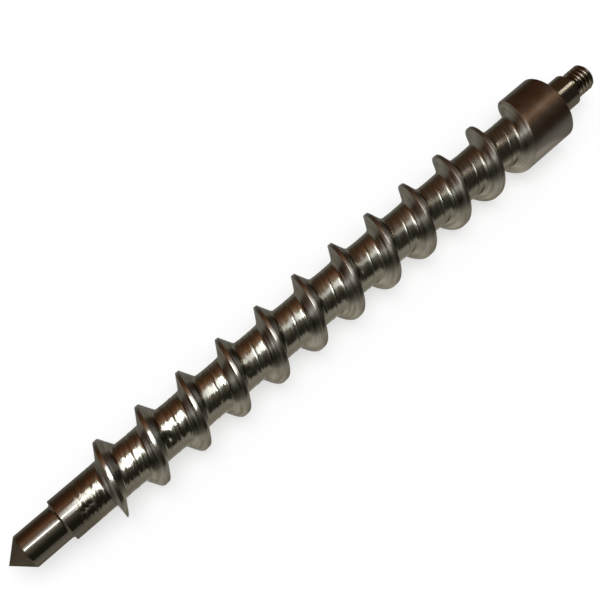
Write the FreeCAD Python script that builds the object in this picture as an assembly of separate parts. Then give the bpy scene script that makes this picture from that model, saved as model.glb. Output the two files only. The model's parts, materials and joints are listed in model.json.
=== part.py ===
"""Dosing screw: a one-piece stainless worm, turned from bar, with a left-hand milled channel.

It lies on its flight crests and its collar, axis along X with the pointed end at -X, Z up.
The origin is under the middle of its length, on the surface that it lies on. Millimetres.
"""

import os
from math import atan, degrees, radians, tan

import FreeCAD, Part
from FreeCAD import Vector

# Bar: what is left of it at full size is the flight's crest and the collar
BAR_DIA = 15.0
COLLAR_CHAMFER = 0.3

# Left-hand channel
PITCH = 10.0
CREST_WIDTH = 0.82
FLANK_ANGLE = 29.0
ROOT_DIA = 9.2
ROOT_BEVEL = 0.68
CHANNEL_TURNS = 11.1
RUN_OUT_TURNS = 0.25
COLLAR_BEYOND_CHANNEL = 8.45

# Pointed end
CONE_LENGTH = 3.8
JOURNAL_DIA = 7.3
JOURNAL_LENGTH = 8.45
NECK_DIA = 9.06
NECK_LENGTH = 9.1
NECK_CHAMFER = 0.15

# Drive end
SPIGOT_DIA = 7.46
SPIGOT_LENGTH = 6.75
SPIGOT_CHAMFER = 0.4
STUB_DIA = 6.0
STUB_LENGTH = 5.35
STUB_CHAMFER = 0.6
RELIEF_DIA = 5.0
RELIEF_WIDTH = 0.8

# Cutter: how far it stays clear of the metal that it leaves, and its hand
CUTTER_CLEARANCE = 1.0
LEAD_IN_TURNS = 1
LEFT_HAND = True

# Stations along the axis, counted from the point
journal_start = CONE_LENGTH
shoulder = journal_start + JOURNAL_LENGTH
flight_start = shoulder + NECK_LENGTH
run_out_start = flight_start + CHANNEL_TURNS * PITCH
channel_end = run_out_start + RUN_OUT_TURNS * PITCH
collar_face = channel_end + COLLAR_BEYOND_CHANNEL
stub_start = collar_face + SPIGOT_LENGTH
total_length = stub_start + STUB_LENGTH

bar_radius = BAR_DIA / 2
root_radius = ROOT_DIA / 2
lid_radius = bar_radius + CUTTER_CLEARANCE
AXIS = Vector(0, 0, 1)
CENTRE = Vector(0, 0, 0)


def turned_blank():
    """The blank as it leaves the lathe: cone, journal, neck, bar, spigot, relief and stub."""
    outline = [
        (0, 0),
        (JOURNAL_DIA / 2, journal_start),
        (JOURNAL_DIA / 2, shoulder),
        (NECK_DIA / 2 - NECK_CHAMFER, shoulder),
        (NECK_DIA / 2, shoulder + NECK_CHAMFER),
        (NECK_DIA / 2, flight_start),
        (bar_radius, flight_start),
        (bar_radius, collar_face - COLLAR_CHAMFER),
        (bar_radius - COLLAR_CHAMFER, collar_face),
        (SPIGOT_DIA / 2, collar_face),
        (SPIGOT_DIA / 2, stub_start - SPIGOT_CHAMFER),
        (SPIGOT_DIA / 2 - SPIGOT_CHAMFER, stub_start),
        (RELIEF_DIA / 2, stub_start),
        (RELIEF_DIA / 2, stub_start + RELIEF_WIDTH),
        (STUB_DIA / 2, stub_start + RELIEF_WIDTH),
        (STUB_DIA / 2, total_length - STUB_CHAMFER),
        (STUB_DIA / 2 - STUB_CHAMFER, total_length),
        (0, total_length),
        (0, 0),
    ]
    corners = [Vector(radius, 0, station) for radius, station in outline]
    return Part.Face(Part.makePolygon(corners)).revolve(CENTRE, AXIS, 360)


def channel_section():
    """The channel's section in the plane through the axis: floor, root bevels and flanks.

    Each root bevel reaches ROOT_BEVEL along the floor and along the flank. The section is closed
    by a lid that lies CUTTER_CLEARANCE above the bar.
    """
    slope = tan(radians(FLANK_ANGLE))
    half_mouth = (PITCH - CREST_WIDTH) / 2
    half_floor = half_mouth - (bar_radius - root_radius) * slope
    half_lid = half_mouth + CUTTER_CLEARANCE * slope
    foot = Vector(root_radius, 0, half_floor)
    top = Vector(lid_radius, 0, half_lid)
    up_the_flank = (top - foot).normalize()

    half = [foot - AXIS * ROOT_BEVEL, foot + up_the_flank * ROOT_BEVEL, top]
    other_half = [Vector(point.x, 0, -point.z) for point in reversed(half)]
    return Part.makePolygon(half + other_half + half[:1])


def cut_along(helix):
    """The solid that the channel's section sweeps along a helix that starts on +X."""
    sweep = Part.BRepOffsetAPI.MakePipeShell(helix)
    sweep.setFrenetMode(True)
    sweep.add(channel_section())
    sweep.build()
    sweep.makeSolid()
    return sweep.shape()


def channel():
    """The channel at its full depth, from the lead-in before the flight to the run-out."""
    turns = LEAD_IN_TURNS + CHANNEL_TURNS
    cut = cut_along(Part.makeLongHelix(PITCH, turns * PITCH, root_radius, 0, LEFT_HAND))
    cut.translate(Vector(0, 0, flight_start - LEAD_IN_TURNS * PITCH))
    return cut


def run_out():
    """The channel's end in the collar's far side, where the cutter is drawn out of the bar."""
    height = RUN_OUT_TURNS * PITCH
    widening = degrees(atan((lid_radius - root_radius) / height))
    cut = cut_along(Part.makeLongHelix(PITCH, height, root_radius, widening, LEFT_HAND))
    cut.rotate(CENTRE, AXIS, -360 * CHANNEL_TURNS)
    cut.translate(Vector(0, 0, run_out_start))
    return cut


def laid_down(shape):
    """Turn a shape built about Z onto the X axis and lay it on the surface at Z = 0."""
    shape.rotate(CENTRE, Vector(1, 1, 1), 120)
    shape.translate(Vector(-total_length / 2, 0, bar_radius))
    return shape


screw = turned_blank().cut([channel(), run_out()])
screw = laid_down(screw.Solids[0])

os.makedirs("parts", exist_ok=True)
screw.exportStep("parts/dosing_screw.step")

box = screw.optimalBoundingBox(True, False)
print(f"valid {screw.isValid()}, volume {screw.Volume:.1f} mm3, {len(screw.Faces)} faces")
print(f"X {box.XMin:.2f} {box.XMax:.2f}, Y {box.YMin:.2f} {box.YMax:.2f}, Z {box.ZMin:.2f} {box.ZMax:.2f}")
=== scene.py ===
"""Dosing screw: the finish of a one-piece stainless worm, lying on white paper."""

import json
from math import pi, radians, tan

import bmesh
import bpy
import numpy as np
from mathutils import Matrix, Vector


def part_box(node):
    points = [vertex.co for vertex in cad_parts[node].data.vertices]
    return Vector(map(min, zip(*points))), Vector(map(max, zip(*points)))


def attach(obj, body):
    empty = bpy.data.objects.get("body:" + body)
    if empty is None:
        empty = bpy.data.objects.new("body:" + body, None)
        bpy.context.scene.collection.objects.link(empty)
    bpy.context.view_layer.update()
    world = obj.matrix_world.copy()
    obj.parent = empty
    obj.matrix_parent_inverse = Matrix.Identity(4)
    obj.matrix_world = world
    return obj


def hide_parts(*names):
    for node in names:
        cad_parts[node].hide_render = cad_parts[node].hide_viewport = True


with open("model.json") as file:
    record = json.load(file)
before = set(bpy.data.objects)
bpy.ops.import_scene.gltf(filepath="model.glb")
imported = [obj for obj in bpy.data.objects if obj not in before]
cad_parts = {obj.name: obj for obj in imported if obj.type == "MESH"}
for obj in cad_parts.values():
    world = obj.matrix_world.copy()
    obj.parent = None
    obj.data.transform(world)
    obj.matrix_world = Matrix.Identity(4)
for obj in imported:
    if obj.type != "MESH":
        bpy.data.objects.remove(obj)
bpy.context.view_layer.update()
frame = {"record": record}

# Turned point
# Cone and journal are turned from the stainless bar. The journal is left bright from the tool, and
# at its shoulder a small fillet and a narrow bevel lead to the neck.
# Stations are mm from the point along the axis, and radii are mm from the axis.

low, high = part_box("dosing_screw")
mounts = {mount["name"]: mount for mount in frame["record"]["mounts"]}
left_end = low[0] * 1000
total_length = (high[0] - low[0]) * 1000
bar_radius = (high[2] - low[2]) * 500
axis_height = low[2] * 1000 + bar_radius
COLUMNS = 128
ROW_STEP = 0.6
turn = np.linspace(0, 2 * pi, COLUMNS + 1)
finishes = []
blocks = []


def pin_span(name):
    """A round mount's ends, which are its middle less and plus half its length, and its radius."""
    mount = mounts[name]
    middle = mount["pos_m"][0] * 1000 - left_end
    half = mount["dims"]["length_mm"] / 2
    return middle - half, middle + half, mount["dims"]["r_mm"]


def line_points(corners, step):
    """Points about step apart along straight runs through (station, radius) corners."""
    stations, radii = [corners[0][0]], [corners[0][1]]
    for first, last in zip(corners[:-1], corners[1:]):
        count = max(1, round(float(np.hypot(last[0] - first[0], last[1] - first[1])) / step))
        share = np.arange(1, count + 1) / count
        stations.extend(first[0] + (last[0] - first[0]) * share)
        radii.extend(first[1] + (last[1] - first[1]) * share)
    return np.array(stations), np.array(radii)


def turned_rows(corners, step=ROW_STEP):
    """A profile turned about the axis: each station and radius is the same all round."""
    station, radius = line_points(corners, step)
    same = np.ones((1, COLUMNS + 1))
    return station[:, None] * same, radius[:, None] * same


def linear(hex_colour):
    """An sRGB hex colour as linear red, green, blue and full alpha.

    Low values are divided by 12.92, the rest are (value + 0.055) / 1.055 to the power 2.4.
    """
    parts = [int(hex_colour[i:i + 2], 16) / 255 for i in (1, 3, 5)]
    return [c / 12.92 if c <= 0.04045 else ((c + 0.055) / 1.055) ** 2.4 for c in parts] + [1]


def add_node(tree, kind, settings=None, links=None):
    """Add a node with its properties and socket values, and link sockets to other outputs."""
    node = tree.nodes.new(kind)
    for key, value in (settings or {}).items():
        if isinstance(key, str) and hasattr(node, key):
            setattr(node, key, value)
        else:
            node.inputs[key].default_value = value
    for key, output in (links or {}).items():
        tree.links.new(output, node.inputs[key])
    return node


STEEL_EDGE_COLOUR = "#ADADAC"


def bare_steel(name, colour, roughness, anisotropy=0):
    """A bare steel whose marks follow the tool: its number, its node tree and its shader node."""
    material = bpy.data.materials.new(name)
    finishes.append(material)
    material.use_nodes = True
    tree = material.node_tree
    shader = tree.nodes["Principled BSDF"]
    shader.inputs["Base Color"].default_value = linear(colour)
    shader.inputs["Metallic"].default_value = 1
    shader.inputs["Roughness"].default_value = roughness
    shader.inputs["Anisotropic"].default_value = anisotropy
    shader.inputs["Specular Tint"].default_value = linear(STEEL_EDGE_COLOUR)
    along = add_node(tree, "ShaderNodeTangent", {"direction_type": "UV_MAP", "uv_map": "tool_path_mm"})
    tree.links.new(along.outputs[0], shader.inputs["Tangent"])
    return len(finishes) - 1, tree, shader


JOURNAL_START, SHOULDER, JOURNAL_RADIUS = pin_span("tip_journal")
NECK_RADIUS = 4.53
SHOULDER_BEVEL = 0.15
SHOULDER_FILLET = 0.5
CONE_EDGE_BREAK = 0.06

# Dull finish of the cone: stainless steel with a darker, browner base colour than the rest, which
# shows an even dark brown
dull = bare_steel("dull_stainless_steel", "#544C40", 0.42)[0]

# Turned finish: bright stainless steel with rings from the tool. It shows a sharp line of light
# with a soft edge. The rings, 0.12 mm apart, are drawn 0.3 mm apart so that they show.
turned, tree, shader = bare_steel("turned_stainless_steel", "#666055", 0.09, 0.3)
place = add_node(tree, "ShaderNodeTexCoord")
rings = add_node(
    tree, "ShaderNodeMapping",
    {"Scale": (1 / 0.0003, 1 / 0.02, 1 / 0.02)},
    {"Vector": place.outputs["Object"]},
)
ring_noise = add_node(
    tree, "ShaderNodeTexNoise", {"Scale": 1, "Detail": 2}, {"Vector": rings.outputs[0]}
)
rough = add_node(
    tree, "ShaderNodeMapRange",
    {"From Min": 0.3, "From Max": 0.7, "To Min": 0.09, "To Max": 0.12},
    {"Value": ring_noise.outputs["Fac"]},
)
tree.links.new(rough.outputs[0], shader.inputs["Roughness"])
grooves = add_node(
    tree, "ShaderNodeBump", {"Strength": 1, "Distance": 1.5e-7}, {"Height": ring_noise.outputs["Fac"]}
)
tree.links.new(grooves.outputs[0], shader.inputs["Normal"])

cone_corners = [
    (0, 0),
    (JOURNAL_START - CONE_EDGE_BREAK, JOURNAL_RADIUS - CONE_EDGE_BREAK),
]
fillet_start = SHOULDER - SHOULDER_BEVEL - SHOULDER_FILLET
journal_corners = [
    cone_corners[-1],
    (JOURNAL_START + CONE_EDGE_BREAK, JOURNAL_RADIUS),
    (fillet_start, JOURNAL_RADIUS),
]
fillet_corners = [
    (
        fillet_start + SHOULDER_FILLET * np.sin(angle),
        JOURNAL_RADIUS + SHOULDER_FILLET * (1 - np.cos(angle)),
    )
    for angle in np.linspace(0, pi / 2, 6)
]
shoulder_corners = [
    fillet_corners[-1],
    (SHOULDER - SHOULDER_BEVEL, NECK_RADIUS - SHOULDER_BEVEL),
]
blocks.append((*turned_rows(cone_corners), dull))
for corners in (journal_corners, fillet_corners, shoulder_corners):
    blocks.append((*turned_rows(corners), turned))

# Neck, channel and flight
# The flight is what is left of the stainless bar between the turns of a left-hand channel. A form
# tool mills the channel in two passes, which meet in a fine ridge near the middle of its floor. It
# enters over the turned neck, where the flight gets a square face, and leaves beside the collar.

NECK_LENGTH = 9.1
NECK_ROW_STEP = 0.2
PITCH = 10.0
CREST_WIDTH = 0.82
FLANK_ANGLE = radians(29)
ROOT_RADIUS = 4.6
ROOT_FILLET = 0.8
FLOOR_HOLLOW = 0.012
FLOOR_POINTS = 19
CREST_EDGE_RADIUS = 0.1
GROUND_DEPTH = 0.06
RIDGE_PLACE = 0.55
RIDGE_HEIGHT = 0.05
RIDGE_REACH = 0.32
RIDGE_CLEARANCE = 0.05
CHANNEL_TURNS = 11.1
RUN_OUT_TURNS = 0.25
RUN_OUT_LIFT = 3.9
PASSES = 14
FLIGHT_START = SHOULDER + NECK_LENGTH
COLLAR_FACE, SPIGOT_BEVEL_START, SPIGOT_RADIUS = pin_span("drive_spigot")
COLLAR_BEVEL = 0.3
half_mouth = (PITCH - CREST_WIDTH) / 2
half_floor = half_mouth - (bar_radius - ROOT_RADIUS) * tan(FLANK_ANGLE)
flank_foot_radius = ROOT_RADIUS + ROOT_FILLET * (1 - np.sin(FLANK_ANGLE))


def side_of_channel():
    """One side of the channel from the end of its floor, as distances from its middle and radii.

    Fillet arc from 0 to 90 degrees less the flank angle, straight flank, rounded crest edge,
    half of the crest.
    """
    lean = pi / 2 - FLANK_ANGLE
    floor_end = half_floor - ROOT_FILLET * tan(lean / 2)
    arc = np.linspace(0, lean, 6)
    fillet = floor_end + ROOT_FILLET * np.sin(arc)
    fillet_radius = ROOT_RADIUS + ROOT_FILLET * (1 - np.cos(arc))
    edge_reach = CREST_EDGE_RADIUS * tan(lean / 2)
    flank_top = half_mouth - edge_reach * np.sin(FLANK_ANGLE)
    flank_top_radius = bar_radius - edge_reach * np.cos(FLANK_ANGLE)
    share = np.linspace(0, 1, 4)[1:-1]
    flank = fillet[-1] + (flank_top - fillet[-1]) * share
    flank_radius = fillet_radius[-1] + (flank_top_radius - fillet_radius[-1]) * share
    corner = np.linspace(lean, 0, 4)
    edge = half_mouth + edge_reach - CREST_EDGE_RADIUS * np.sin(corner)
    edge_radius = bar_radius - CREST_EDGE_RADIUS * (1 - np.cos(corner))
    across = np.concatenate([fillet, flank, edge, [PITCH / 2]])
    return across, np.concatenate([fillet_radius, flank_radius, edge_radius, [bar_radius]])


def channel_section():
    """The whole section of one turn, from crest middle to crest middle.

    The floor is hollow: it meets the fillets at ROOT_RADIUS, and lies deeper in between by
    FLOOR_HOLLOW times what the square of the distance from its middle lacks there. On it stands
    a ridge, whose height falls with the square of one less the distance over RIDGE_REACH.
    """
    side, side_radius = side_of_channel()
    edge = side[0]
    ridge = RIDGE_PLACE + RIDGE_REACH * np.array([-1, -0.6, -0.25, 0, 0.25, 0.6, 1])
    plain = np.linspace(-edge, edge, FLOOR_POINTS)[1:-1]
    plain = plain[np.abs(plain - RIDGE_PLACE) > RIDGE_REACH + RIDGE_CLEARANCE]
    floor = np.sort(np.concatenate([plain, ridge]))
    rise = RIDGE_HEIGHT * np.clip(1 - np.abs(floor - RIDGE_PLACE) / RIDGE_REACH, 0, 1) ** 2
    floor_radius = ROOT_RADIUS - FLOOR_HOLLOW * (edge ** 2 - floor ** 2) + rise
    across = np.concatenate([-side[::-1], floor, side[:-1]])
    return across, np.concatenate([side_radius[::-1], floor_radius, side_radius[:-1]])


def held_between(station, radius, first_station, last_station):
    """Hold a grid between two stations: what lies outside takes the radius found at the limit."""
    limits = ((first_station, station >= first_station), (last_station, station <= last_station))
    for limit, inside in limits:
        crossing = np.argmax(inside[1:] != inside[:-1], axis=0)
        column = np.arange(station.shape[1])
        before, after = station[crossing, column], station[crossing + 1, column]
        share = (limit - before) / np.where(after == before, 1, after - before)
        at_limit = radius[crossing, column] * (1 - share) + radius[crossing + 1, column] * share
        radius = np.where(inside, radius, at_limit)
        station = np.where(inside, station, limit)
    return station, radius


def channel_rows(first_station, last_station):
    """The channel's section carried along a left-hand helix, as stations and radii on a grid.

    A row keeps its place in the section, and its station falls by one pitch in each turn. In the
    run-out the section is lifted out of the bar. Rows that would lie before the first or past the
    last station are held there.
    """
    across, radius = channel_section()
    turns_run = np.arange(PASSES)[:, None, None] - turn[None, None, :] / (2 * pi)
    station = FLIGHT_START + PITCH * turns_run + across[None, :, None]
    lift = RUN_OUT_LIFT * np.clip((turns_run - CHANNEL_TURNS) / RUN_OUT_TURNS, 0, 1)
    surface = np.minimum(radius[None, :, None] + lift, bar_radius)
    station, surface = station.reshape(-1, COLUMNS + 1), surface.reshape(-1, COLUMNS + 1)
    return held_between(station, surface, first_station, last_station)


# Nicks in neck and floor from hard grains: station, degrees round the axis, half length along the
# axis, half width round it, depth
NICKS = (
    (15.8, 119, 0.2, 0.22, 0.12),
    (16.3, 124, 0.22, 0.22, 0.16),
    (16.7, 117, 0.2, 0.3, 0.2),
    (17.1, 122, 0.22, 0.2, 0.15),
    (17.6, 117, 0.2, 0.25, 0.12),
    (18.1, 120, 0.22, 0.22, 0.1),
    (36.2, 121, 0.42, 0.75, 0.55),
    (55.9, 124, 0.25, 0.5, 0.25),
    (85.8, 117, 0.25, 0.5, 0.22),
)
NICKED_BELOW_RADIUS = ROOT_RADIUS + 0.5


def nicked(station, radius):
    """Press small dents into a grid: each is a bell in station and in distance round the axis."""
    dented = radius.copy()
    for at, degrees_round, half_length, half_width, depth in NICKS:
        aside = radius * (turn[None, :] - radians(degrees_round))
        bell = np.exp(-0.5 * (((station - at) / half_length) ** 2 + (aside / half_width) ** 2))
        dented = dented - np.where(radius < NICKED_BELOW_RADIUS, depth, 0) * bell
    return station, dented


# Milled finish of the floor: stainless steel with the form tool's chatter, streaks 0.7 mm wide and
# 5 mm long that tilt the surface a few degrees and give the light ragged ends. They fade towards
# the collar, where the floor is duller, and the base colour is darker and browner towards both ends.
milled, tree, shader = bare_steel("milled_stainless_steel", "#837F71", 0.2)
place = add_node(tree, "ShaderNodeTexCoord")
along = add_node(tree, "ShaderNodeSeparateXYZ", None, {"Vector": place.outputs["Object"]})
path = add_node(tree, "ShaderNodeUVMap", {"uv_map": "tool_path_mm"})
marks = add_node(
    tree, "ShaderNodeMapping", {"Scale": (1 / 0.7, 1 / 5, 1)}, {"Vector": path.outputs[0]}
)
chatter = add_node(
    tree, "ShaderNodeTexNoise",
    {"noise_dimensions": "2D", "Scale": 1, "Detail": 3, "Roughness": 0.65},
    {"Vector": marks.outputs[0]},
)
depth = add_node(
    tree, "ShaderNodeMapRange",
    {"From Min": -0.03, "From Max": 0.02, "To Min": 0.2, "To Max": 0.04},
    {"Value": along.outputs["X"]},
)
smoothest = add_node(
    tree, "ShaderNodeMapRange",
    {"From Min": -0.03, "From Max": 0.05, "To Min": 0.12, "To Max": 0.24},
    {"Value": along.outputs["X"]},
)
streak = add_node(
    tree, "ShaderNodeMapRange",
    {"From Min": 0.44, "From Max": 0.7, "To Max": 0.34},
    {"Value": chatter.outputs["Fac"], "To Min": smoothest.outputs[0]},
)
tree.links.new(streak.outputs[0], shader.inputs["Roughness"])
length = add_node(
    tree, "ShaderNodeMapRange", {"From Min": -0.065, "From Max": 0.065}, {"Value": along.outputs["X"]}
)
brown = add_node(tree, "ShaderNodeValToRGB", None, {"Fac": length.outputs[0]})
stops = brown.color_ramp.elements
stops[0].position, stops[0].color = 0.04, linear("#665F52")
stops[1].position, stops[1].color = 1, linear("#716B5D")
stops.new(0.12).color = linear("#767164")
stops.new(0.6).color = linear("#7E7A6C")
tree.links.new(brown.outputs["Color"], shader.inputs["Base Color"])
centred = add_node(
    tree, "ShaderNodeVectorMath",
    {"operation": "SUBTRACT", 1: (0.5, 0.5, 0.5)},
    {0: chatter.outputs["Color"]},
)
mostly_along = add_node(
    tree, "ShaderNodeVectorMath", {"operation": "MULTIPLY", 1: (0.3, 1, 0)}, {0: centred.outputs[0]}
)
sized = add_node(
    tree, "ShaderNodeVectorMath",
    {"operation": "SCALE"},
    {0: mostly_along.outputs[0], "Scale": depth.outputs[0]},
)
shifted = add_node(
    tree, "ShaderNodeVectorMath", {"operation": "ADD", 1: (0.5, 0.5, 1)}, {0: sized.outputs[0]}
)
tilt = add_node(
    tree, "ShaderNodeNormalMap",
    {"uv_map": "tool_path_mm", "Strength": 1},
    {"Color": shifted.outputs[0]},
)
tree.links.new(tilt.outputs[0], shader.inputs["Normal"])

# Scored finish of the flanks: stainless steel cut by the side of the tool, matt grey with light and
# dark arcs. The scratches are drawn 0.35 mm apart, several times their real spacing.
scored, tree, shader = bare_steel("matt_milled_stainless_steel", "#807B6E", 0.34, 0.9)
path = add_node(tree, "ShaderNodeUVMap", {"uv_map": "tool_path_mm"})
arcs = add_node(
    tree, "ShaderNodeMapping", {"Scale": (1 / 0.35, 1 / 5, 1)}, {"Vector": path.outputs[0]}
)
scratches = add_node(
    tree, "ShaderNodeTexNoise",
    {"noise_dimensions": "2D", "Scale": 1, "Detail": 4, "Roughness": 0.6},
    {"Vector": arcs.outputs[0]},
)
tones = add_node(tree, "ShaderNodeValToRGB", None, {"Fac": scratches.outputs["Fac"]})
stops = tones.color_ramp.elements
stops[0].position, stops[0].color = 0.33, linear("#6C6759")
stops[1].position, stops[1].color = 0.68, linear("#928E82")
tree.links.new(tones.outputs["Color"], shader.inputs["Base Color"])
matt = add_node(
    tree, "ShaderNodeMapRange",
    {"From Min": 0.3, "From Max": 0.7, "To Min": 0.26, "To Max": 0.42},
    {"Value": scratches.outputs["Fac"]},
)
tree.links.new(matt.outputs[0], shader.inputs["Roughness"])

# Ground finish of the crest: satin stainless steel, a little duller towards the collar. It shows a
# soft streak of light on each turn.
ground, tree, shader = bare_steel("ground_stainless_steel", "#7A7468", 0.2)
place = add_node(tree, "ShaderNodeTexCoord")
along = add_node(tree, "ShaderNodeSeparateXYZ", None, {"Vector": place.outputs["Object"]})
satin = add_node(
    tree, "ShaderNodeMapRange",
    {"From Min": -0.05, "From Max": 0.06, "To Min": 0.2, "To Max": 0.32},
    {"Value": along.outputs["X"]},
)
tree.links.new(satin.outputs[0], shader.inputs["Roughness"])

neck_corners = [shoulder_corners[-1], (SHOULDER, NECK_RADIUS), (FLIGHT_START, NECK_RADIUS)]
neck = nicked(*turned_rows(neck_corners, NECK_ROW_STEP))
lap = (neck[0] - FLIGHT_START) / PITCH + turn[None, :] / (2 * pi)
under_tool = np.abs(lap - np.round(lap)) * PITCH < half_floor
blocks.append((*neck, np.where(under_tool, milled, turned)))

flight = nicked(*channel_rows(FLIGHT_START, COLLAR_FACE - COLLAR_BEVEL))
middle_radius = (flight[1] + np.vstack([flight[1][1:], flight[1][-1:]])) / 2
on_crest = middle_radius > bar_radius - GROUND_DEPTH
flight_finish = np.where(on_crest, ground, np.where(middle_radius > flank_foot_radius, scored, milled))

# Collar and spigot
# The collar is the stainless bar at its full width, ground, with a bevel at its flat face. The
# turned spigot behind it centres the screw in its drive shaft, and ends in a bevel and a relief
# groove for the thread.

THREAD_START, _, THREAD_RADIUS = pin_span("drive_thread")
SPIGOT_BEVEL = 0.4
SPIGOT_FILLET = 0.15
SPIGOT_ROW_STEP = 0.5
FILLET_MIDDLE = SPIGOT_FILLET * 0.3
RELIEF_RADIUS = 2.5
RELIEF_WIDTH = 0.8
COLLAR_START = FLIGHT_START + (CHANNEL_TURNS + RUN_OUT_TURNS) * PITCH - PITCH / 2
STUB_START = THREAD_START - RELIEF_WIDTH

# Stained finish of the collar: ground stainless steel, dulled by handling. It shows a soft mottled
# brown, in stains 3 mm wide, above 13.4 mm over the paper. Down to 12 mm it fades to a lighter grey,
# a painted reflection of the paper on the collar's lower side.
stains_and_reflection, tree, shader = bare_steel("stained_ground_stainless_steel", "#6B6251", 0.34)
place = add_node(tree, "ShaderNodeTexCoord")
bloom = add_node(
    tree, "ShaderNodeMapping", {"Scale": (1 / 0.003,) * 3}, {"Vector": place.outputs["Object"]}
)
mottle = add_node(
    tree, "ShaderNodeTexNoise", {"Scale": 1, "Detail": 4}, {"Vector": bloom.outputs[0]}
)
height = add_node(tree, "ShaderNodeSeparateXYZ", None, {"Vector": place.outputs["Object"]})
# Painted reflection: from 13.4 mm down to 12 mm over the paper the colour fades to a lighter grey, the
# paper as mirrored on the lower side
painted_paper_reflection = add_node(
    tree, "ShaderNodeMapRange",
    {"From Min": 0.0134, "From Max": 0.012, "To Max": 1},
    {"Value": height.outputs["Z"], "To Min": mottle.outputs["Fac"]},
)
tones = add_node(tree, "ShaderNodeValToRGB", None, {"Fac": painted_paper_reflection.outputs[0]})
stops = tones.color_ramp.elements
stops[0].position, stops[0].color = 0.35, linear("#624E3B")
stops[1].position, stops[1].color = 1, linear("#807A70")
stops.new(0.65).color = linear("#6B5C4C")
tree.links.new(tones.outputs["Color"], shader.inputs["Base Color"])

# Rubbed finish of the spigot: turned stainless steel, rubbed satin in its socket, which softens
# its line of light
rubbed = bare_steel("rubbed_turned_stainless_steel", "#766F60", 0.15)[0]

flight_finish = np.where(on_crest & (flight[0] > COLLAR_START), stains_and_reflection, flight_finish)
blocks.append((*flight, flight_finish))
collar_corners = [
    (COLLAR_FACE - COLLAR_BEVEL, bar_radius),
    (COLLAR_FACE, bar_radius - COLLAR_BEVEL),
    (COLLAR_FACE, SPIGOT_RADIUS + SPIGOT_FILLET),
]
spigot_corners = [
    collar_corners[-1],
    (COLLAR_FACE + FILLET_MIDDLE, SPIGOT_RADIUS + FILLET_MIDDLE),
    (COLLAR_FACE + SPIGOT_FILLET, SPIGOT_RADIUS),
    (SPIGOT_BEVEL_START, SPIGOT_RADIUS),
    (STUB_START, SPIGOT_RADIUS - SPIGOT_BEVEL),
    (STUB_START, RELIEF_RADIUS),
    (THREAD_START, RELIEF_RADIUS),
]
blocks.append((*turned_rows(collar_corners), stains_and_reflection))
blocks.append((*turned_rows(spigot_corners, SPIGOT_ROW_STEP), rubbed))

# Threaded stub
# An M6 x 1 thread, right-hand, cut with a die up to the relief groove. Its end is bevelled, so
# the last crest fades out. The steel is a little brown with old oil, and a dot of light stands on
# each crest.

THREAD_PITCH = 1.0
THREAD_DEPTH = 0.48
THREAD_END_BEVEL = 0.6
THREAD_TURNS = 7
RELIEF_SLOPE = 1.2
threaded = bare_steel("threaded_stainless_steel", "#6E6557", 0.16)[0]


def thread_rows(first_station, last_station):
    """The thread's section carried along a right-hand helix, held between two stations.

    From a crest's middle, the crest rounds off over a fifth of the pitch to a seventh of the
    depth, and a straight flank leads to the root at half the pitch. The end bevel takes 1 mm off
    the radius in each mm of station, and the side of the relief groove RELIEF_SLOPE mm.
    """
    half = np.array([0, 0.05, 0.1, 0.15, 0.2, 0.3, 0.4])
    half_down = np.array([0, 0.005, 0.03, 0.075, 0.14, 0.427, 0.713])
    across = np.concatenate([half, [0.5], 1 - half[:0:-1]])
    down = np.concatenate([half_down, [1], half_down[:0:-1]])
    turns_run = np.arange(THREAD_TURNS)[:, None, None] + turn[None, None, :] / (2 * pi) - 1
    station = first_station + THREAD_PITCH * (turns_run + across[None, :, None])
    radius = THREAD_RADIUS - THREAD_DEPTH * down[None, :, None] + 0 * turns_run
    station, radius = station.reshape(-1, COLUMNS + 1), radius.reshape(-1, COLUMNS + 1)
    end_radius = THREAD_RADIUS - THREAD_END_BEVEL
    radius = np.minimum(radius, end_radius + np.maximum(last_station - station, 0))
    radius = np.minimum(radius, RELIEF_RADIUS + RELIEF_SLOPE * np.maximum(station - first_station, 0))
    return held_between(station, radius, first_station, last_station)


end_corners = [(total_length, THREAD_RADIUS - THREAD_END_BEVEL), (total_length, 0)]
blocks.append((*thread_rows(THREAD_START, total_length), threaded))
blocks.append((*turned_rows(end_corners, SPIGOT_ROW_STEP), threaded))

# The whole screw
# Every form above is one piece of steel, so the rows follow each other from the point to the stub
# in one closed mesh, which stands in for the plain solid.

SHARP_ANGLE = radians(28)


def tool_path(station, column):
    """Distance across the channel, and along it at its floor, for the corners of each face.

    Across is the station less that of the channel's middle, which falls by one pitch in a turn;
    each face takes the turn that its own middle is nearest to.
    """
    raw = (station - FLIGHT_START) / PITCH + turn[column] / (2 * pi)
    whole = np.round(raw.mean(axis=1, keepdims=True))
    lap_length = np.hypot(2 * pi * ROOT_RADIUS, PITCH)
    return np.stack([(raw - whole) * PITCH, (whole - turn[column] / (2 * pi)) * lap_length], axis=-1)


def grid_faces(shape):
    """The corners of each cell of a grid of points, which are numbered row by row."""
    point = np.arange(shape[0] * shape[1]).reshape(shape)
    cells = [point[:-1, :-1], point[:-1, 1:], point[1:, 1:], point[1:, :-1]]
    return np.stack(cells, axis=-1).reshape(-1, 4)


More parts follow.
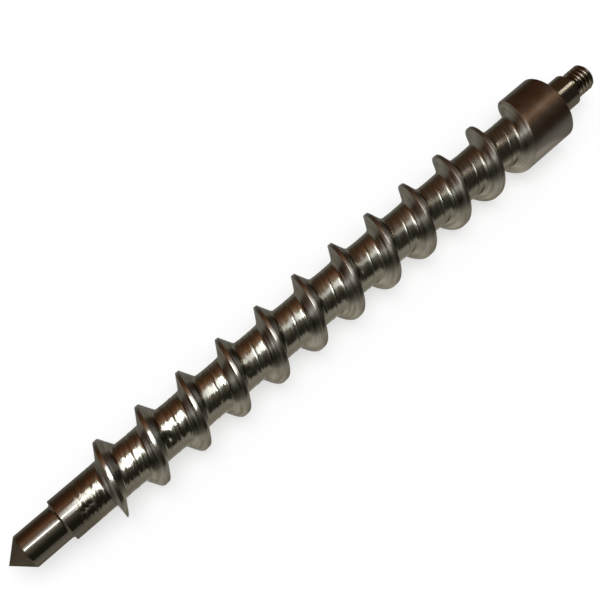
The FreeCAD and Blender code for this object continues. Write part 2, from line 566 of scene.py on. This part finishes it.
def screw_mesh(name):
    """One closed mesh from the blocks of stations and radii, all on the same columns.

    A point at angle a and radius r lies at Y = r cos a and Z = axis + r sin a. What falls
    together, as at the poles and at the seam, is merged.
    """
    station = np.vstack([block[0] for block in blocks])
    radius = np.vstack([block[1] for block in blocks])
    finish = np.concatenate([np.broadcast_to(block[2], block[0].shape) for block in blocks])
    points = np.stack(
        [left_end + station, radius * np.cos(turn), axis_height + radius * np.sin(turn)], axis=-1
    )
    quads = grid_faces(station.shape)

    mesh = bpy.data.meshes.new(name)
    mesh.from_pydata((points.reshape(-1, 3) / 1000).tolist(), [], quads.tolist())
    path = tool_path(station.ravel()[quads], quads % (COLUMNS + 1))
    mesh.uv_layers.new(name="tool_path_mm").data.foreach_set("uv", path.ravel())
    mesh.polygons.foreach_set("material_index", finish[:-1, :-1].astype(np.int32).ravel())
    shell = bmesh.new()
    shell.from_mesh(mesh)
    bmesh.ops.remove_doubles(shell, verts=shell.verts, dist=1e-6)
    bmesh.ops.dissolve_degenerate(shell, edges=shell.edges, dist=1e-7)
    bmesh.ops.recalc_face_normals(shell, faces=shell.faces)
    shell.to_mesh(mesh)
    shell.free()
    mesh.polygons.foreach_set("use_smooth", [True] * len(mesh.polygons))
    mesh.set_sharp_from_angle(angle=SHARP_ANGLE)
    return mesh


screw = bpy.data.objects.new("stainless_screw", screw_mesh("stainless_screw"))
bpy.context.collection.objects.link(screw)
for material in finishes:
    screw.data.materials.append(material)
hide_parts("dosing_screw")
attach(screw, "root")

# Paper and sky
# The screw lies on matt white paper, under a plain white sky and a broad lamp straight above. To
# the camera and in reflections paper and sky show white, and all else they light more weakly.

PAPER_SIZE = 6
PAPER_COLOUR = "#ADADAC"
PAPER_WHITENING = 0.58
SKY_ON_PAPER = 0.6
OVERHEAD_POWER = 0.42 * pi
OVERHEAD_SPREAD = radians(40)


def seen_directly(tree):
    """One for a camera, glossy or transmission ray, and nothing for any other."""
    ray = add_node(tree, "ShaderNodeLightPath")
    through = add_node(
        tree, "ShaderNodeMath", {"operation": "MAXIMUM"},
        {0: ray.outputs["Is Glossy Ray"], 1: ray.outputs["Is Transmission Ray"]},
    )
    seen = add_node(
        tree, "ShaderNodeMath", {"operation": "MAXIMUM"},
        {0: ray.outputs["Is Camera Ray"], 1: through.outputs[0]},
    )
    return seen.outputs[0]


bpy.ops.mesh.primitive_plane_add(size=PAPER_SIZE, location=(0, 0, 0))
floor = bpy.context.object
floor.name = "floor"
# Paper: matt and white, so it shows no line of light
paper = bpy.data.materials.new("white_paper")
paper.use_nodes = True
tree = paper.node_tree
shader = tree.nodes["Principled BSDF"]
shader.inputs["Base Color"].default_value = linear(PAPER_COLOUR)
shader.inputs["Roughness"].default_value = 0.8
shader.inputs["Emission Color"].default_value = linear("#FFFFFF")
whitening = add_node(
    tree, "ShaderNodeMath", {"operation": "MULTIPLY", 1: PAPER_WHITENING}, {0: seen_directly(tree)}
)
tree.links.new(whitening.outputs[0], shader.inputs["Emission Strength"])
floor.data.materials.append(paper)

world = bpy.data.worlds.new("world")
bpy.context.scene.world = world
world.use_nodes = True
tree = world.node_tree
strength = add_node(
    tree, "ShaderNodeMapRange", {"To Min": SKY_ON_PAPER, "To Max": 1}, {"Value": seen_directly(tree)}
)
sky = tree.nodes["Background"]
sky.inputs["Color"].default_value = (1, 1, 1, 1)
tree.links.new(strength.outputs[0], sky.inputs["Strength"])

data = bpy.data.lights.new("overhead", "SUN")
data.energy = OVERHEAD_POWER
data.angle = OVERHEAD_SPREAD
overhead = bpy.data.objects.new("overhead", data)
overhead.location = (0, 0, 1)
overhead.visible_glossy = False
bpy.context.collection.objects.link(overhead)

# What the steel mirrors
# Polished steel shows what stands round it. A cloth tent and two cards on the paper give it the
# brown, grey and black of a dim workshop, and window panes and two bulbs its line of light. All of
# these are seen only in reflections and light nothing else.

TENT_RADIUS = 0.7
TENT_SKEW = 0.147
TENT_SHIFT = 0.07
TENT_CROWDING = 6
CROWDED_FROM = 0.24
CROWDED_WITHIN = 0.06
LIGHT_LINE = 88
CARD_HEIGHT = 0.0003
LAMP_HEIGHT = 0.42
DAYLIGHT = (0.75, 0.85, 1)
BULB_LIGHT = (0.94, 0.96, 1)

# Cloth of tent and cards: an even glow, at twice its written tone
cloth = bpy.data.materials.new("tent_cloth")
cloth.use_nodes = True
tree = cloth.node_tree
tree.nodes.remove(tree.nodes["Principled BSDF"])
tone = add_node(tree, "ShaderNodeAttribute", {"attribute_name": "tone"})
glow = add_node(tree, "ShaderNodeEmission", {"Strength": 2}, {"Color": tone.outputs["Color"]})
tree.links.new(glow.outputs[0], tree.nodes["Material Output"].inputs["Surface"])


def cloth_sheet(name, points, tones, at):
    """A sheet of cloth from a grid of points, each point's tone read off a scale at its place."""
    mesh = bpy.data.meshes.new(name)
    quads = grid_faces(at.shape)
    mesh.from_pydata(points.reshape(-1, 3).tolist(), [], quads.tolist())
    places = [place for place, tone in tones]
    colours = np.array([linear(tone) for place, tone in tones])
    read = np.stack([np.interp(at.ravel(), places, colours[:, k]) for k in range(4)], axis=-1)
    mesh.attributes.new("tone", "FLOAT_COLOR", "POINT").data.foreach_set("color", read.ravel())
    mesh.materials.append(cloth)
    sheet = bpy.data.objects.new(name, mesh)
    sheet.visible_camera = False
    sheet.visible_diffuse = False
    sheet.visible_shadow = False
    bpy.context.collection.objects.link(sheet)


# Tent: half a sphere. Its tones follow the angle about a line beside the screw's axis, in degrees
# from the paper on the far side. Far past the collar they crowd round the line of light.
around, upward = np.meshgrid(np.linspace(0, 2 * pi, 145), np.linspace(0, pi / 2, 37))
tent_points = TENT_RADIUS * np.stack(
    [np.cos(around) * np.cos(upward), np.sin(around) * np.cos(upward), np.sin(upward)], axis=-1
)
aside = tent_points[..., 1] + TENT_SKEW * tent_points[..., 0] + TENT_SHIFT
tent_angle = np.degrees(np.arctan2(tent_points[..., 2], aside))
past_collar = np.clip((tent_points[..., 0] - CROWDED_FROM) / CROWDED_WITHIN, 0, 1)
crowding = 1 + TENT_CROWDING * past_collar
# Painted reflection: the tones paint a dim workshop, brown low on the far side, a painted glow of the
# window lightest round the line of light, and dark grey to near black down to the paper on the near side
tent_tones = (
    (0, "#533F34"), (24, "#5C402D"), (40, "#79553C"), (54, "#A4826D"), (76, "#A69286"), (90, "#A49B94"),
    (104, "#928A82"), (120, "#706C65"), (134, "#41413B"), (150, "#31312C"), (180, "#373530"),
)
cloth_sheet("tent", tent_points, tent_tones, LIGHT_LINE + (tent_angle - LIGHT_LINE) * crowding)

# Cards: their tones follow the distance from the axis in m. The near card's are read at a multiple
# of it, which differs beside the point, the flight, the collar and the spigot.
card_places = np.array([-0.5, -0.061, -0.06, 0.055, 0.056, 0.0665, 0.0675, 0.5])
near_multiples = np.array([4, 4, 1, 1, 0.35, 0.35, 9, 9])
card_x, card_y = np.meshgrid(card_places, np.geomspace(0.003, 0.4, 41))
card_z = np.full(card_x.shape, CARD_HEIGHT)
# Painted reflection of the paper with a painted shadow of the screw: the far card is darkest 7 mm from the
# axis, lightest 16 mm off and dimmer far away
far_paper_and_shadow_tones = (
    (0.003, "#9F9F9E"), (0.0073, "#888888"), (0.0105, "#A9A8A8"), (0.0158, "#BBBABA"), (0.02, "#B2B2B1"),
    (0.027, "#969696"), (0.041, "#757575"), (0.081, "#4A4A4A"), (0.3, "#404040"),
)
# Painted light: the near card's tones paint the paper lightest 7.5 mm from the axis, beside the screw.
# Read at their multiples they come out brighter beside the collar and dimmer beside the point and the
# spigot
near_paper_and_light_tones = (
    (0.003, "#C4C2C0"), (0.0075, "#E1DFDD"), (0.011, "#AEADAB"), (0.018, "#AAA8A7"),
    (0.026, "#B7B6B4"), (0.042, "#AAA8A7"), (0.126, "#939290"), (0.4, "#797876"),
)
cloth_sheet("far_card", np.stack([card_x, card_y, card_z], axis=-1), far_paper_and_shadow_tones, card_y)
cloth_sheet("near_card", np.stack([card_x, -card_y, card_z], axis=-1), near_paper_and_light_tones, card_y * near_multiples)

# Panes and bulbs: where each starts and ends along X, its middle in Y, its width, its radiance and
# its colour. Power is pi times area times radiance.
for name, first, last, middle, width, radiance, colour in (
    ("pane_over_point", -0.5, -0.055, -0.03, 0.04, 20, DAYLIGHT),
    ("glow_over_point", -0.5, -0.055, -0.015, 0.17, 2.2, DAYLIGHT),
    ("pane_1", -0.055, -0.005, -0.012, 0.3, 15, DAYLIGHT),
    ("pane_2", -0.005, 0.03, -0.005, 0.28, 10, DAYLIGHT),
    ("pane_3", 0.03, 0.055, -0.015, 0.25, 5.5, DAYLIGHT),
    ("pane_4", 0.055, 0.09, -0.035, 0.22, 3, DAYLIGHT),
    ("pane_5", 0.09, 0.14, -0.06, 0.17, 2.6, DAYLIGHT),
    ("pane_6", 0.14, 0.22, -0.08, 0.14, 1.1, DAYLIGHT),
    ("bulb", 0.326, 0.345, 0.015, 0.13, 9, BULB_LIGHT),
    ("second_bulb", 0.35, 0.36, 0.01, 0.06, 16, BULB_LIGHT),
):
    data = bpy.data.lights.new(name, "AREA")
    data.shape = "RECTANGLE"
    data.size, data.size_y = last - first, width
    data.energy = pi * (last - first) * width * radiance
    data.color = colour
    lamp = bpy.data.objects.new(name, data)
    lamp.location = ((first + last) / 2, middle, LAMP_HEIGHT)
    lamp.visible_camera = False
    lamp.visible_diffuse = False
    bpy.context.collection.objects.link(lamp)

# Camera
# A long lens, 22 cm from the middle of the screw, looks down on it from the point's end and frames
# its whole length.

CAMERA_PLACE = Vector((-0.06339, -0.06193, 0.21322))
CAMERA_AIM = Vector((-0.00371, 0.00284, 0.0075))
CAMERA_LENS = 67.59

camera_data = bpy.data.cameras.new("camera")
camera_data.sensor_width = 36
camera_data.lens = CAMERA_LENS
camera = bpy.data.objects.new("camera", camera_data)
camera.location = CAMERA_PLACE
camera.rotation_euler = (CAMERA_AIM - CAMERA_PLACE).to_track_quat("-Z", "Y").to_euler()
bpy.context.collection.objects.link(camera)
bpy.context.scene.camera = camera
bpy.context.scene.view_settings.view_transform = "Standard"
